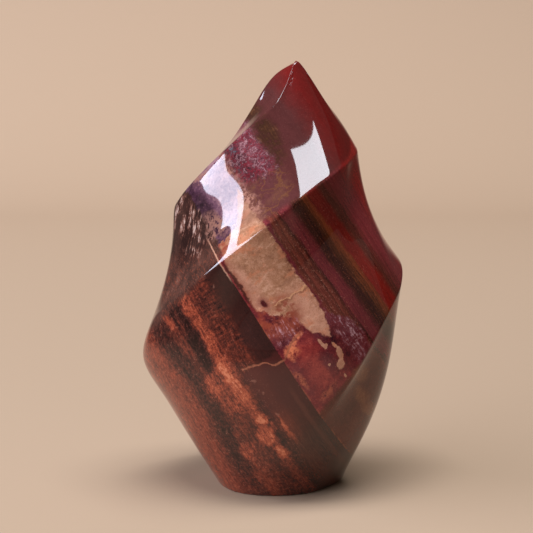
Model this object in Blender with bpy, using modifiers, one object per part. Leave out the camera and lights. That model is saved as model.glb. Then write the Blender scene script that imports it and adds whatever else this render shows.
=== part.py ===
"""Petrified wood flame carving.

One polished stone, ground into faces that wind up round it to a leaning tip. Two ridges climb
from its foot and part the faces. A coarse cage has its corners in columns round the stone and in
lines along the ridges, and subdivision turns it into the smooth stone. The lists below are in
millimetres, and the finished stone is in metres.
"""

import bmesh
import bpy
import numpy as np
from mathutils import Vector

NAME = "flame_carving"
MM = 0.001

# Columns of points stand round the stone, in degrees from the front towards its right side
COLUMN_ANGLES = (-90, -62, -32, 0, 30, 57, 80, 106, 140, 180, 214, 244)
COLUMNS = len(COLUMN_ANGLES)

# The middle line of the stone leans, so the tip is not above the middle of the foot
TIP_HEIGHT = 150.0
LEAN_HEIGHTS = (0.0, 143.0, TIP_HEIGHT)
LEAN_SHIFTS = (0.5, 5.8, 8.0)

# The foot is ground flat, and has a radius for each column
FOOT_RADII = (20.2, 21.0, 22.2, 21.8, 22.0, 21.8, 23.5, 25.5, 25.0, 22.5, 20.5, 20.0)

# A ridge has the first column that it passes, and for each column a radius, a height and how
# crisp it is up to the next one. After a full turn it passes the same column again, higher up
FIRST_RIDGE_START = -4
FIRST_RIDGE = (
    (33.0, 15.0, 0.5), (38.0, 27.0, 0.7), (41.5, 37.0, 0.7), (44.5, 47.0, 0.7),
    (46.6, 56.4, 0.7), (43.0, 68.5, 0.7), (39.5, 84.8, 0.7), (36.0, 102.4, 0.75),
    (31.0, 113.4, 0.8), (25.2, 116.3, 0.8), (24.0, 117.8, 0.8), (24.8, 120.0, 0.7),
    (21.5, 124.0, 0.7), (18.0, 128.5, 0.7), (14.5, 133.0, 0.6), (11.3, 137.0, 0.5),
    (9.2, 140.2, 0.0),
)
SECOND_RIDGE_START = -1
SECOND_RIDGE = (
    (27.5, 11.0, 0.0), (32.8, 19.0, 0.0), (31.0, 17.0, 0.0), (31.5, 20.0, 0.0), (35.0, 26.0, 0.4),
    (39.5, 39.0, 0.65), (41.0, 61.0, 0.75), (41.9, 71.0, 0.75), (43.0, 79.0, 0.7),
    (40.5, 83.0, 0.7), (38.0, 87.0, 0.7), (37.5, 91.5, 0.65), (38.0, 96.0, 0.5),
    (38.2, 101.0, 0.35), (26.0, 118.5, 0.5), (14.0, 133.0, 0.75), (5.5, 143.3, 0.75),
)

# Between its ridges a face swells beyond the straight line, or is hollow where the number is
# negative. Each column has up to two such places, from the lower ridge to the upper one
FACE_UNDER_FIRST_START = -3
FACE_UNDER_FIRST = (
    (0.5,), (1.0, 1.0), (2.0, 2.0),
    (3.6, 6.6), (4.5, 5.0), (4.5, 2.0), (4.0, 0.0), (2.0, -1.5), (0.0, -3.0),
    (-0.9, -3.0), (-3.6, -2.8), (-4.0, -3.5), (-3.0, -3.5), (-3.0, -3.5), (-2.5, -3.0),
    (-1.8, -1.8), (-1.0, 0.0), (0.0,),
)
FACE_UNDER_SECOND_START = 3
FACE_UNDER_SECOND = (
    (2.0,), (1.8, 1.0), (4.0, 3.2),
    (4.2, 3.9), (-1.5, -1.5), (0.0, 0.0), (-2.0, -1.5), (-2.5, -1.5), (-2.0, -1.5),
    (-1.5, -1.5), (-3.0, 1.0), (-0.5, 0.5), (-1.0, -0.5), (-1.0, -0.6), (1.1, 0.9),
    (1.3, 1.4), (0.9, 0.2), (0.0, 0.0), (-0.5, -0.5), (0.0,),
)

# On the right side an edge climbs across the faces, soft up to the first ridge and crisp above it
EDGE_COLUMN = 6
EDGE_BELOW = 0.45
EDGE_ABOVE = 0.7

# An edge crisper than this is also shaded as one
SHADED_CRISP = 0.6
SUBDIVISIONS = 2
SETTLING_ROUNDS = 6

TIP = ("tip", 0)


def outward(column):
    """The level direction from the middle line towards a column."""
    angle = np.radians(COLUMN_ANGLES[column % COLUMNS])
    return np.array((np.sin(angle), -np.cos(angle), 0.0))


def place(column, radius, height):
    """The point of a column at a radius and a height."""
    middle = np.array((np.interp(height, LEAN_HEIGHTS, LEAN_SHIFTS), 0.0, height))
    return middle + outward(column) * radius


def add_face(points, name, face, start, below, above, turn):
    """Adds a face's own points, between its two ridges or as far as the foot or the tip."""
    for column, swellings in enumerate(face, start):
        low = points.get((below, column - turn), points["foot", column % COLUMNS])
        high = points.get((above, column), points[TIP])
        for i, swelling in enumerate(swellings):
            share = (i + 1) / (len(swellings) + 1)
            points[name + str(i), column] = low + (high - low) * share + outward(column) * swelling


def stone_points():
    """The points that the smooth stone passes through, by the line and the column they are on."""
    points = {TIP: place(EDGE_COLUMN, 0.0, TIP_HEIGHT)}
    for column, radius in enumerate(FOOT_RADII):
        points["foot", column] = place(column, radius, 0.0)
    for column, (radius, height, _) in enumerate(FIRST_RIDGE, FIRST_RIDGE_START):
        points["first", column] = place(column, radius, height)
    for column, (radius, height, _) in enumerate(SECOND_RIDGE, SECOND_RIDGE_START):
        points["second", column] = place(column, radius, height)
    add_face(points, "under_first", FACE_UNDER_FIRST, FACE_UNDER_FIRST_START, "second", "first", 0)
    add_face(points, "under_second", FACE_UNDER_SECOND, FACE_UNDER_SECOND_START, "first", "second", COLUMNS)
    return points


def climb(points, column):
    """The keys of the points that a column passes, from the foot to the tip."""
    between = [key for key in points if key[0] not in ("foot", "tip") and key[1] % COLUMNS == column]
    return [("foot", column)] + sorted(between, key=lambda key: points[key][2]) + [TIP]


def strip(left, right):
    """Faces between two neighbouring columns, with a rung wherever a line passes both."""
    steps = {(line, column + 1): step for step, (line, column) in enumerate(left[1:-1], 1)}
    rungs = [(0, 0)] + [(steps[key], step) for step, key in enumerate(right) if key in steps]
    rungs.append((len(left) - 1, len(right) - 1))
    faces = []
    for (left_low, right_low), (left_high, right_high) in zip(rungs, rungs[1:]):
        face = right[right_low:right_high + 1] + left[left_low:left_high + 1][::-1]
        faces.append(list(dict.fromkeys(face)))
    return faces


def cage_faces(points):
    """The faces of the cage: the flat foot, and the strips that stand on it."""
    faces = [[("foot", column) for column in reversed(range(COLUMNS))]]
    for column in range(COLUMNS):
        faces += strip(climb(points, column), climb(points, (column + 1) % COLUMNS))
    return faces


def crisp_edges(points):
    """How crisp each edge of the foot, the ridges and the side edge is, by its two ends."""
    crispness = {}
    for column in range(COLUMNS):
        crispness[("foot", column), ("foot", (column + 1) % COLUMNS)] = 1.0
    ridges = (("first", FIRST_RIDGE_START, FIRST_RIDGE), ("second", SECOND_RIDGE_START, SECOND_RIDGE))
    for line, start, ridge in ridges:
        for column, (_, _, crisp) in enumerate(ridge, start):
            following = (line, column + 1)
            crispness[(line, column), following if following in points else TIP] = crisp
    side = climb(points, EDGE_COLUMN)
    crossing = side.index(("first", EDGE_COLUMN))
    for step in range(side.index(("second", EDGE_COLUMN)), len(side) - 1):
        crispness[side[step], side[step + 1]] = EDGE_BELOW if step < crossing else EDGE_ABOVE
    return crispness


def build_cage(points):
    """The cage as an object, with its corners on the points for a start."""
    cage = bmesh.new()
    corners = {key: cage.verts.new(Vector(point * MM)) for key, point in points.items()}
    for face in cage_faces(points):
        cage.faces.new([corners[key] for key in face]).smooth = True
    crease = cage.edges.layers.float.new("crease_edge")
    for ends, crisp in crisp_edges(points).items():
        edge = cage.edges.get([corners[key] for key in ends])
        if edge:
            edge[crease] = crisp
            edge.smooth = crisp < SHADED_CRISP
    mesh = bpy.data.meshes.new(NAME)
    cage.to_mesh(mesh)
    cage.free()
    return bpy.data.objects.new(NAME, mesh)


def settle(stone):
    """Moves the cage's corners out until the smooth stone passes through their first places."""
    wanted = [corner.co.copy() for corner in stone.data.vertices]
    for _ in range(SETTLING_ROUNDS):
        smooth = stone.evaluated_get(bpy.context.evaluated_depsgraph_get()).data
        misses = [place - smooth.vertices[i].co for i, place in enumerate(wanted)]
        for corner, miss in zip(stone.data.vertices, misses):
            corner.co += miss
        stone.update_tag()


def polished_wood_stone():
    """The stone's overall colour, a dark red brown under a glossy polish."""
    material = bpy.data.materials.new("polished_petrified_wood")
    material.use_nodes = True
    shader = material.node_tree.nodes["Principled BSDF"]
    shader.inputs["Base Color"].default_value = (0.12, 0.035, 0.025, 1.0)
    shader.inputs["Roughness"].default_value = 0.08
    shader.inputs["Metallic"].default_value = 0.0
    return material


def main():
    for old in list(bpy.data.objects):
        bpy.data.objects.remove(old, do_unlink=True)
    collection = bpy.data.collections.new("petrified_wood_flame")
    bpy.context.scene.collection.children.link(collection)
    stone = build_cage(stone_points())
    collection.objects.link(stone)
    stone.data.materials.append(polished_wood_stone())
    smoothing = stone.modifiers.new("smooth_faces", "SUBSURF")
    smoothing.levels = SUBDIVISIONS
    smoothing.render_levels = SUBDIVISIONS
    settle(stone)


main()
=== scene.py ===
"""Petrified wood flame carving: the polished stone in its final finish, on a pale floor.

The stone repeats the cage of the solid in millimetres and carries a finer subdivision. Its
pattern is solid: a frame of two directions, across the wood's grain and along it, runs through
the stone, and every band, vein and patch has its place in that frame, in millimetres.
"""

import bmesh
import bpy
import numpy as np
from bpy.props import FloatProperty, FloatVectorProperty, IntProperty, PointerProperty
from mathutils import Matrix, Vector


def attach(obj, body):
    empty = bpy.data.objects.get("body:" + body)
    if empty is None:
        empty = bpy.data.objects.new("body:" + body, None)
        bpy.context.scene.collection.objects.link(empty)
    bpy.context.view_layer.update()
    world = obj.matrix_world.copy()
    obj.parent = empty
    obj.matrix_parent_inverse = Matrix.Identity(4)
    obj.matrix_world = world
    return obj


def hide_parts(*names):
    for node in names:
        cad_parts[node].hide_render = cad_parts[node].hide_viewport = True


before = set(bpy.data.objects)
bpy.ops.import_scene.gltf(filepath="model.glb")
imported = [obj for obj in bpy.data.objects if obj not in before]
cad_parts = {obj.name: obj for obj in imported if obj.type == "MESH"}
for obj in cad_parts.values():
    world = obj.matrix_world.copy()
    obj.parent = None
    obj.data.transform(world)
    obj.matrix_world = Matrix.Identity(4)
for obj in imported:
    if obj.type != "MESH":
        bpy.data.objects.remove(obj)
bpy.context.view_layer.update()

bl_info = {
    "name": "Petrified Wood Flame Carving",
    "version": (1, 0, 0),
    "blender": (4, 5, 0),
    "location": "View3D > Sidebar > Flame Carving",
    "description": "Makes a polished flame carving of petrified wood, and the stage it stands on",
    "category": "Add Mesh",
}

MM = 0.001
NODE = "flame_carving"
STONE = "polished_flame"

# The form of the stone has the same places as the solid's, in millimetres
COLUMN_ANGLES = (-90, -62, -32, 0, 30, 57, 80, 106, 140, 180, 214, 244)
COLUMNS = len(COLUMN_ANGLES)
TIP_HEIGHT = 150.0
LEAN_HEIGHTS = (0.0, 143.0, TIP_HEIGHT)
LEAN_SHIFTS = (0.5, 5.8, 8.0)
FOOT_RADII = (20.2, 21.0, 22.2, 21.8, 22.0, 21.8, 23.5, 25.5, 25.0, 22.5, 20.5, 20.0)

# A ridge has the first column that it passes, and for each column a radius, a height and how
# crisp it is up to the next one
FIRST_RIDGE_START = -4
FIRST_RIDGE = (
    (33.0, 15.0, 0.5), (38.0, 27.0, 0.7), (41.5, 37.0, 0.7), (44.5, 47.0, 0.7),
    (46.6, 56.4, 0.7), (43.0, 68.5, 0.7), (39.5, 84.8, 0.7), (36.0, 102.4, 0.75),
    (31.0, 113.4, 0.8), (25.2, 116.3, 0.8), (24.0, 117.8, 0.8), (24.8, 120.0, 0.7),
    (21.5, 124.0, 0.7), (18.0, 128.5, 0.7), (14.5, 133.0, 0.6), (11.3, 137.0, 0.5),
    (9.2, 140.2, 0.0),
)
SECOND_RIDGE_START = -1
SECOND_RIDGE = (
    (27.5, 11.0, 0.0), (32.8, 19.0, 0.0), (31.0, 17.0, 0.0), (31.5, 20.0, 0.0), (35.0, 26.0, 0.4),
    (39.5, 39.0, 0.65), (41.0, 61.0, 0.75), (41.9, 71.0, 0.75), (43.0, 79.0, 0.7),
    (40.5, 83.0, 0.7), (38.0, 87.0, 0.7), (37.5, 91.5, 0.65), (38.0, 96.0, 0.5),
    (38.2, 101.0, 0.35), (26.0, 118.5, 0.5), (14.0, 133.0, 0.75), (5.5, 143.3, 0.75),
)

# How far a face swells between its ridges, or is hollow where the number is negative
FACE_UNDER_FIRST_START = -3
FACE_UNDER_FIRST = (
    (0.5,), (1.0, 1.0), (2.0, 2.0),
    (3.6, 6.6), (4.5, 5.0), (4.5, 2.0), (4.0, 0.0), (2.0, -1.5), (0.0, -3.0),
    (-0.9, -3.0), (-3.6, -2.8), (-4.0, -3.5), (-3.0, -3.5), (-3.0, -3.5), (-2.5, -3.0),
    (-1.8, -1.8), (-1.0, 0.0), (0.0,),
)
FACE_UNDER_SECOND_START = 3
FACE_UNDER_SECOND = (
    (2.0,), (1.8, 1.0), (4.0, 3.2),
    (4.2, 3.9), (-1.5, -1.5), (0.0, 0.0), (-2.0, -1.5), (-2.5, -1.5), (-2.0, -1.5),
    (-1.5, -1.5), (-3.0, 1.0), (-0.5, 0.5), (-1.0, -0.5), (-1.0, -0.6), (1.1, 0.9),
    (1.3, 1.4), (0.9, 0.2), (0.0, 0.0), (-0.5, -0.5), (0.0,),
)

# On the right side an edge climbs across the faces, soft up to the first ridge and crisp above it
EDGE_COLUMN = 6
EDGE_BELOW = 0.45
EDGE_ABOVE = 0.7
CAD_SUBDIVISIONS = 2
SETTLING_ROUNDS = 6
CREASE_QUALITY = 6

# The fine mesh has a ridge where two faces meet at more than this angle, between two heights
RIDGE_ANGLE = np.radians(15.0)
RIDGES_FROM = 5.0
RIDGES_TO = 147.0
RIDGE_SEGMENTS = 3
RIM_SEGMENTS = 2
FACES_DOWN = -0.99

TIP = ("tip", 0)


def outward(column):
    """The level direction from the middle line towards a column."""
    angle = np.radians(COLUMN_ANGLES[column % COLUMNS])
    return np.array((np.sin(angle), -np.cos(angle), 0.0))


def place(column, radius, height):
    """The point of a column at a radius and a height."""
    middle = np.array((np.interp(height, LEAN_HEIGHTS, LEAN_SHIFTS), 0.0, height))
    return middle + outward(column) * radius


def add_face(points, name, face, start, below, above, turn):
    """Adds a face's own points, between its two ridges or as far as the foot or the tip."""
    for column, swellings in enumerate(face, start):
        low = points.get((below, column - turn), points["foot", column % COLUMNS])
        high = points.get((above, column), points[TIP])
        for i, swelling in enumerate(swellings):
            share = (i + 1) / (len(swellings) + 1)
            points[name + str(i), column] = low + (high - low) * share + outward(column) * swelling


def stone_points():
    """The points that the smooth stone passes through, by the line and the column they are on."""
    points = {TIP: place(EDGE_COLUMN, 0.0, TIP_HEIGHT)}
    for column, radius in enumerate(FOOT_RADII):
        points["foot", column] = place(column, radius, 0.0)
    for column, (radius, height, _) in enumerate(FIRST_RIDGE, FIRST_RIDGE_START):
        points["first", column] = place(column, radius, height)
    for column, (radius, height, _) in enumerate(SECOND_RIDGE, SECOND_RIDGE_START):
        points["second", column] = place(column, radius, height)
    add_face(points, "under_first", FACE_UNDER_FIRST, FACE_UNDER_FIRST_START, "second", "first", 0)
    add_face(points, "under_second", FACE_UNDER_SECOND, FACE_UNDER_SECOND_START, "first", "second", COLUMNS)
    return points


def climb(points, column):
    """The keys of the points that a column passes, from the foot to the tip."""
    between = [key for key in points if key[0] not in ("foot", "tip") and key[1] % COLUMNS == column]
    return [("foot", column)] + sorted(between, key=lambda key: points[key][2]) + [TIP]


def strip(left, right):
    """Faces between two neighbouring columns, with a rung wherever a line passes both."""
    steps = {(line, column + 1): step for step, (line, column) in enumerate(left[1:-1], 1)}
    rungs = [(0, 0)] + [(steps[key], step) for step, key in enumerate(right) if key in steps]
    rungs.append((len(left) - 1, len(right) - 1))
    faces = []
    for (left_low, right_low), (left_high, right_high) in zip(rungs, rungs[1:]):
        face = right[right_low:right_high + 1] + left[left_low:left_high + 1][::-1]
        faces.append(list(dict.fromkeys(face)))
    return faces


def cage_faces(points):
    """The faces of the cage: the flat foot, and the strips that stand on it."""
    faces = [[("foot", column) for column in reversed(range(COLUMNS))]]
    for column in range(COLUMNS):
        faces += strip(climb(points, column), climb(points, (column + 1) % COLUMNS))
    return faces


def crisp_edges(points):
    """How crisp each edge of the foot, the ridges and the side edge is, by its two ends."""
    crispness = {}
    for column in range(COLUMNS):
        crispness[("foot", column), ("foot", (column + 1) % COLUMNS)] = 1.0
    ridges = (("first", FIRST_RIDGE_START, FIRST_RIDGE), ("second", SECOND_RIDGE_START, SECOND_RIDGE))
    for line, start, ridge in ridges:
        for column, (_, _, crisp) in enumerate(ridge, start):
            following = (line, column + 1)
            crispness[(line, column), following if following in points else TIP] = crisp
    side = climb(points, EDGE_COLUMN)
    crossing = side.index(("first", EDGE_COLUMN))
    for step in range(side.index(("second", EDGE_COLUMN)), len(side) - 1):
        crispness[side[step], side[step + 1]] = EDGE_BELOW if step < crossing else EDGE_ABOVE
    return crispness


def build_cage(points):
    """The cage as an object, with its corners on the points for a start."""
    cage = bmesh.new()
    corners = {key: cage.verts.new(Vector(point * MM)) for key, point in points.items()}
    for face in cage_faces(points):
        cage.faces.new([corners[key] for key in face]).smooth = True
    crease = cage.edges.layers.float.new("crease_edge")
    for ends, crisp in crisp_edges(points).items():
        edge = cage.edges.get([corners[key] for key in ends])
        if edge:
            edge[crease] = crisp
    mesh = bpy.data.meshes.new(STONE)
    cage.to_mesh(mesh)
    cage.free()
    return bpy.data.objects.new(STONE, mesh)


def settle(stone):
    """Moves the cage's corners out until the smooth stone passes through their first places."""
    wanted = [corner.co.copy() for corner in stone.data.vertices]
    for _ in range(SETTLING_ROUNDS):
        smooth = stone.evaluated_get(bpy.context.evaluated_depsgraph_get()).data
        misses = [place - smooth.vertices[i].co for i, place in enumerate(wanted)]
        for corner, miss in zip(stone.data.vertices, misses):
            corner.co += miss
        stone.update_tag()


def finished_mesh(stone, levels, ridge_rounding, rim_rounding):
    """The stone's mesh at its full fineness, with its ridges and the rim of the foot rounded."""
    smoothing = stone.modifiers["smooth_faces"]
    smoothing.levels = levels
    smoothing.quality = CREASE_QUALITY
    graph = bpy.context.evaluated_depsgraph_get()
    fine = bmesh.new()
    fine.from_mesh(stone.evaluated_get(graph).data)
    rim = [edge for edge in fine.edges if is_rim(edge)]
    bmesh.ops.bevel(fine, geom=rim, offset=rim_rounding, segments=RIM_SEGMENTS, profile=0.5, affect="EDGES")
    ridges = [edge for edge in fine.edges if is_ridge(edge)]
    bmesh.ops.bevel(
        fine, geom=ridges, offset=ridge_rounding, segments=RIDGE_SEGMENTS, profile=0.5, affect="EDGES")
    for face in fine.faces:
        face.smooth = True
    mesh = bpy.data.meshes.new(STONE)
    fine.to_mesh(mesh)
    fine.free()
    return mesh


def is_ridge(edge):
    """True for an edge where two faces of the stone meet at an angle, between the rim and the tip."""
    heights = [corner.co.z / MM for corner in edge.verts]
    inside = RIDGES_FROM < min(heights) and max(heights) < RIDGES_TO
    return inside and edge.calc_face_angle(0.0) > RIDGE_ANGLE


def is_rim(edge):
    """True for an edge between the flat foot and a face that rises from it."""
    downward = [face.normal.z < FACES_DOWN for face in edge.link_faces]
    return any(downward) and not all(downward)


# The pattern's frame: across the wood's grain, along it down to the right, and the depth. Every
# place on the stone below is in millimetres in that frame, as (along, across)
ACROSS = (0.84, 0.04, 0.542)
ALONG = (0.542, 0.0, -0.84)
DEPTH = (0.0, 1.0, 0.0)

# Behind the front third, the pattern drifts along and across the grain with the depth
DRIFT_FROM = -14.0
DRIFT_TO = 40.0
DRIFT_ALONG = 26.0
DRIFT_ACROSS = 7.0


def seen(red, green, blue):
    """A colour for a socket, from the red, green and blue that a screen shows, each up to 255."""
    return tuple((level / 255 / 12.92) if level < 11 else ((level / 255 + 0.055) / 1.055) ** 2.4
                 for level in (red, green, blue))


class Value:
    """The output of a node. Arithmetic on it adds Math nodes."""

    def __init__(self, nodes, socket):
        self.nodes = nodes
        self.socket = socket

    def __add__(self, other):
        return self.nodes.math("ADD", self, other)

    def __sub__(self, other):
        return self.nodes.math("SUBTRACT", self, other)

    def __rsub__(self, other):
        return self.nodes.math("SUBTRACT", other, self)

    def __mul__(self, other):
        return self.nodes.math("MULTIPLY", self, other)

    __radd__ = __add__
    __rmul__ = __mul__


class Nodes:
    """Adds the nodes of one material."""

    def __init__(self, tree):
        self.tree = tree

    def add(self, kind, settings, values, output=0):
        """A node with its settings, and then the values or links of its sockets. Gives one output."""
        node = self.tree.nodes.new(kind)
        for name, setting in settings.items():
            if name == "stops":
                self.set_stops(node.color_ramp, setting)
            elif name == "points":
                self.set_points(node.mapping, setting)
            else:
                setattr(node, name, setting)
        for name, value in values.items():
            self.feed(node.inputs[name], value)
        return Value(self, node.outputs[output])

    def feed(self, socket, value):
        """Links a value of this material to a socket, or sets the socket to a plain one."""
        if isinstance(value, Value):
            self.tree.links.new(value.socket, socket)
        elif socket.type == "RGBA":
            socket.default_value = (*value, 1.0)
        else:
            socket.default_value = value

    @staticmethod
    def set_stops(ramp, stops):
        """Gives a colour ramp its stops, each a position from 0 to 1 and a colour."""
        while len(ramp.elements) < len(stops):
            ramp.elements.new(0.0)
        for element, (position, colour) in zip(ramp.elements, stops):
            element.position = position
            element.color = (*colour, 1.0)

    @staticmethod
    def set_points(mapping, points):
        """Gives a curve its points, each with both coordinates from 0 to 1."""
        curve = mapping.curves[0]
        while len(curve.points) < len(points):
            curve.points.new(0.0, 0.0)
        for point, place in zip(curve.points, points):
            point.location = place
            point.handle_type = "VECTOR"
        mapping.update()

    def math(self, operation, *values):
        """The result of a Math node on values or numbers."""
        return self.add("ShaderNodeMath", {"operation": operation}, dict(enumerate(values)))

    def vector(self, operation, *values, output=0):
        """The result of a Vector Math node on vectors."""
        return self.add("ShaderNodeVectorMath", {"operation": operation}, dict(enumerate(values)), output)

    def point(self, *coordinates):
        """A vector from its coordinates, in their order."""
        return self.add("ShaderNodeCombineXYZ", {}, dict(enumerate(coordinates)))

    def larger(self, first, *others):
        """The largest of several values."""
        for other in others:
            first = self.math("MAXIMUM", first, other)
        return first

    def share(self, value, low, high):
        """How far a value has come from low to high, from 0 to 1."""
        ends = {"Value": value, "From Min": low, "From Max": high}
        return self.add("ShaderNodeMapRange", {"clamp": True}, ends)

    def rise(self, value, low, high):
        """A smooth rise from 0 at low to 1 at high. It falls instead when low is the higher."""
        if low > high:
            return 1 - self.rise(value, high, low)
        settings = {"interpolation_type": "SMOOTHSTEP", "clamp": True}
        return self.add("ShaderNodeMapRange", settings, {"Value": value, "From Min": low, "From Max": high})

    def between(self, value, low, high, soft):
        """1 between two limits, softened at both."""
        return self.rise(value, low - soft, low + soft) * self.rise(value, high + soft, high - soft)

    def mix(self, mask, under, over):
        """The colour over another where the mask is 1."""
        settings = {"data_type": "RGBA", "clamp_factor": True}
        return self.add("ShaderNodeMix", settings, {0: mask, 6: under, 7: over}, 2)

    def paint(self, colour, *layers):
        """The colour under several layers, each a mask and the layer's own colour."""
        for mask, layer in layers:
            colour = self.mix(mask, colour, layer)
        return colour

    def darken(self, colour, shade):
        """The colour with a share of it taken away, the same for red, green and blue."""
        return self.mix(shade, colour, (0.0, 0.0, 0.0))

    def grain(self, place, sizes, detail, rough=0.55):
        """Noise with the given sizes of its clouds along, across and deep, in millimetres, from 0 to 1."""
        stretched = self.vector("DIVIDE", place, sizes)
        return self.add("ShaderNodeTexNoise", {}, {"Vector": stretched, "Scale": 1.0, "Detail": detail,
                                                   "Roughness": rough})

    def swing(self, place, sizes, detail, rough=0.55):
        """The same noise about 0, from -0.5 to 0.5."""
        return self.grain(place, sizes, detail, rough) - 0.5

    def thin(self, value, level, width):
        """1 on the thin line where a value crosses a level, fading within the width."""
        return self.rise(self.math("ABSOLUTE", value - level), width, 0.0)

    def blot(self, flat, centre, radii, tilt=0.0, soft=0.25):
        """1 inside an oval on the flat frame, turned by a tilt in degrees, with a soft edge."""
        turn = np.radians(tilt)
        axes = (np.array((np.cos(turn), np.sin(turn))) / radii[0],
                np.array((-np.sin(turn), np.cos(turn))) / radii[1])
        offsets = [self.vector("DOT_PRODUCT", flat, (*axis, 0.0), output=1) - float(axis @ centre)
                   for axis in axes]
        reach = self.math("MULTIPLY_ADD", offsets[0], offsets[0], offsets[1] * offsets[1])
        return self.rise(reach, (1 + soft) ** 2, (1 - soft) ** 2)

    def blots(self, flat, ovals, soft=0.25):
        """1 inside any of several ovals, each a centre, radii and a tilt."""
        return self.larger(*(self.blot(flat, centre, radii, tilt, soft) for centre, radii, tilt in ovals))

    def patches(self, flat, ovals):
        """The strongest of several ovals, each a centre, radii, a tilt, a softness and a strength."""
        return self.larger(*(self.blot(flat, centre, radii, tilt, soft) * strength
                             for centre, radii, tilt, soft, strength in ovals))

    def follow(self, value, points):
        """A curve through points, each a place on the value and the height there."""
        low, high = points[0][0], points[-1][0]
        least = min(height for _, height in points)
        span = max(height for _, height in points) - least
        scaled = [((x - low) / (high - low), (height - least) / span) for x, height in points]
        curve = self.add("ShaderNodeFloatCurve", {"points": scaled}, {"Value": self.share(value, low, high)})
        return curve * span + least

    def bands(self, value, bands):
        """Colours along a value, each band a place on it and a colour."""
        low, high = bands[0][0], bands[-1][0]
        stops = [((place - low) / (high - low), colour) for place, colour in bands]
        return self.add("ShaderNodeValToRGB", {"stops": stops}, {"Fac": self.share(value, low, high)})


# Brightness of the brown wood, from the lower left edge up to the straight fault
WOOD_LEVELS = (
    (-18.0, 0.50), (-11.0, 0.51), (-7.0, 0.49), (-5.0, 0.34), (-2.5, 0.16), (0.0, 0.18), (1.8, 0.34),
    (4.0, 0.33), (8.5, 0.30), (10.0, 0.56), (12.2, 0.62), (13.8, 0.42), (15.5, 0.33), (20.0, 0.33),
    (23.0, 0.18), (28.0, 0.13), (30.0, 0.13),
)
WOOD_COLOURS = (
    (0.0, seen(34, 17, 14)), (0.16, seen(54, 27, 23)), (0.34, seen(84, 38, 29)), (0.5, seen(116, 52, 37)),
    (0.66, seen(148, 68, 46)), (0.82, seen(172, 86, 57)), (1.0, seen(198, 116, 82)),
)

# How far the wood's bands stray across the grain, by the place along it
WOOD_DRIFT = (
    (-84.0, -0.6), (-66.0, -0.2), (-50.0, 1.6), (-36.0, 1.2), (-24.0, -1.0), (-8.0, -2.4), (6.0, -2.2),
)

# An oval has a centre, two radii and a tilt in degrees. In some lists each oval also has its own
# softness and strength
DARK_WEDGE = (((-62.0, 7.0), (13.5, 2.3), -2.0), ((-72.0, 5.4), (8.0, 1.5), 4.0))
ORANGE_FLARES = (
    ((-46.0, 5.2), (5.0, 3.6), -35.0, 0.6, 1.0), ((-39.0, 8.2), (5.5, 4.0), -20.0, 0.7, 0.75),
    ((-47.0, 9.5), (5.0, 2.6), 0.0, 0.6, 0.9), ((-31.0, 11.5), (5.0, 2.2), 0.0, 0.6, 0.7),
    ((-75.0, 2.2), (7.0, 1.2), 8.0, 0.6, 0.7), ((-20.0, 1.4), (3.0, 2.2), -20.0, 0.7, 0.8),
    ((-70.0, 5.8), (5.0, 0.7), -6.0, 0.6, 0.6),
)
ORANGE_BLOBS = (
    ((-22.4, 9.8), (2.9, 2.6), 0.0), ((-28.2, 12.2), (1.4, 1.8), 0.0), ((-14.2, 11.8), (2.8, 1.7), 20.0),
    ((-24.5, 14.2), (1.6, 0.7), 0.0), ((-21.0, 17.6), (5.0, 0.55), 2.0), ((-18.4, 17.8), (1.5, 0.9), 0.0),
)
ASH_SPOTS = (
    ((-41.2, 16.9), (0.3, 0.9), -20.0), ((-36.4, 17.4), (0.4, 0.3), 0.0),
    ((-27.0, 17.6), (0.6, 0.3), 0.0), ((-75.0, 22.6), (0.4, 0.35), 0.0),
)

# Colours of the stripes, the upper face, the pale patch and the crimson
RUSSET = seen(120, 55, 43)
UMBER = seen(90, 42, 33)
SOOT = seen(60, 26, 20)
PLUM = seen(115, 42, 46)
OLIVE = seen(80, 40, 22)
AMBER = seen(130, 60, 32)
BLOOD = seen(118, 32, 26)
WINE = seen(125, 47, 49)
SCARLET = seen(150, 34, 30)
MUSHROOM = seen(132, 84, 68)
DUSK = seen(92, 48, 47)
MULBERRY = seen(84, 40, 38)
RUBY = seen(108, 23, 21)
CLAY = seen(105, 57, 42)
SAND = seen(170, 119, 88)
SHELL = seen(230, 174, 144)
GRAPE = seen(54, 22, 29)
CRIMSON = seen(124, 42, 44)
CORAL = seen(175, 72, 62)

# The red and dark stripes, from the pale patch up to the far edge, by the place across the
# grain. They run slightly askew to it, so their places hold at one level along it
STRIPE_BANDS = (
    (48.6, RUSSET), (50.4, UMBER), (51.6, RUSSET), (52.6, UMBER), (53.6, RUSSET), (54.8, SOOT),
    (56.0, PLUM), (58.4, PLUM), (60.4, SOOT), (62.0, SOOT), (63.6, OLIVE), (65.6, AMBER),
    (66.4, BLOOD), (69.6, BLOOD), (70.8, UMBER), (72.0, UMBER), (75.5, WINE), (78.5, WINE),
    (83.0, SCARLET), (92.0, SCARLET),
)
STRIPE_SLOPE = 0.05
STRIPE_LEVEL_AT = -80.0
STRIPES_FROM = 49.6
STRIPES_SOFT = 0.3

PALE_COLOURS = ((0.0, CLAY), (0.42, SAND), (1.0, SHELL))
PALE_PINK = (
    ((-48.0, 46.0), (12.0, 4.6), 0.0, 0.5, 1.0), ((-65.0, 31.4), (12.0, 3.4), 3.0, 0.6, 1.0),
    ((-34.0, 45.0), (9.0, 4.0), 0.0, 0.4, 1.0),
)
PALE_RUST = (
    ((-53.5, 37.0), (6.0, 4.6), -35.0, 0.8, 1.0), ((-84.0, 33.0), (2.0, 4.0), 0.0, 0.7, 1.0),
    ((-83.0, 46.0), (3.0, 3.0), 0.0, 0.8, 0.3),
)
RED_SPOT = (-61.4, 34.2)
RED_SPOT_TILT = 12.0

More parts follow.
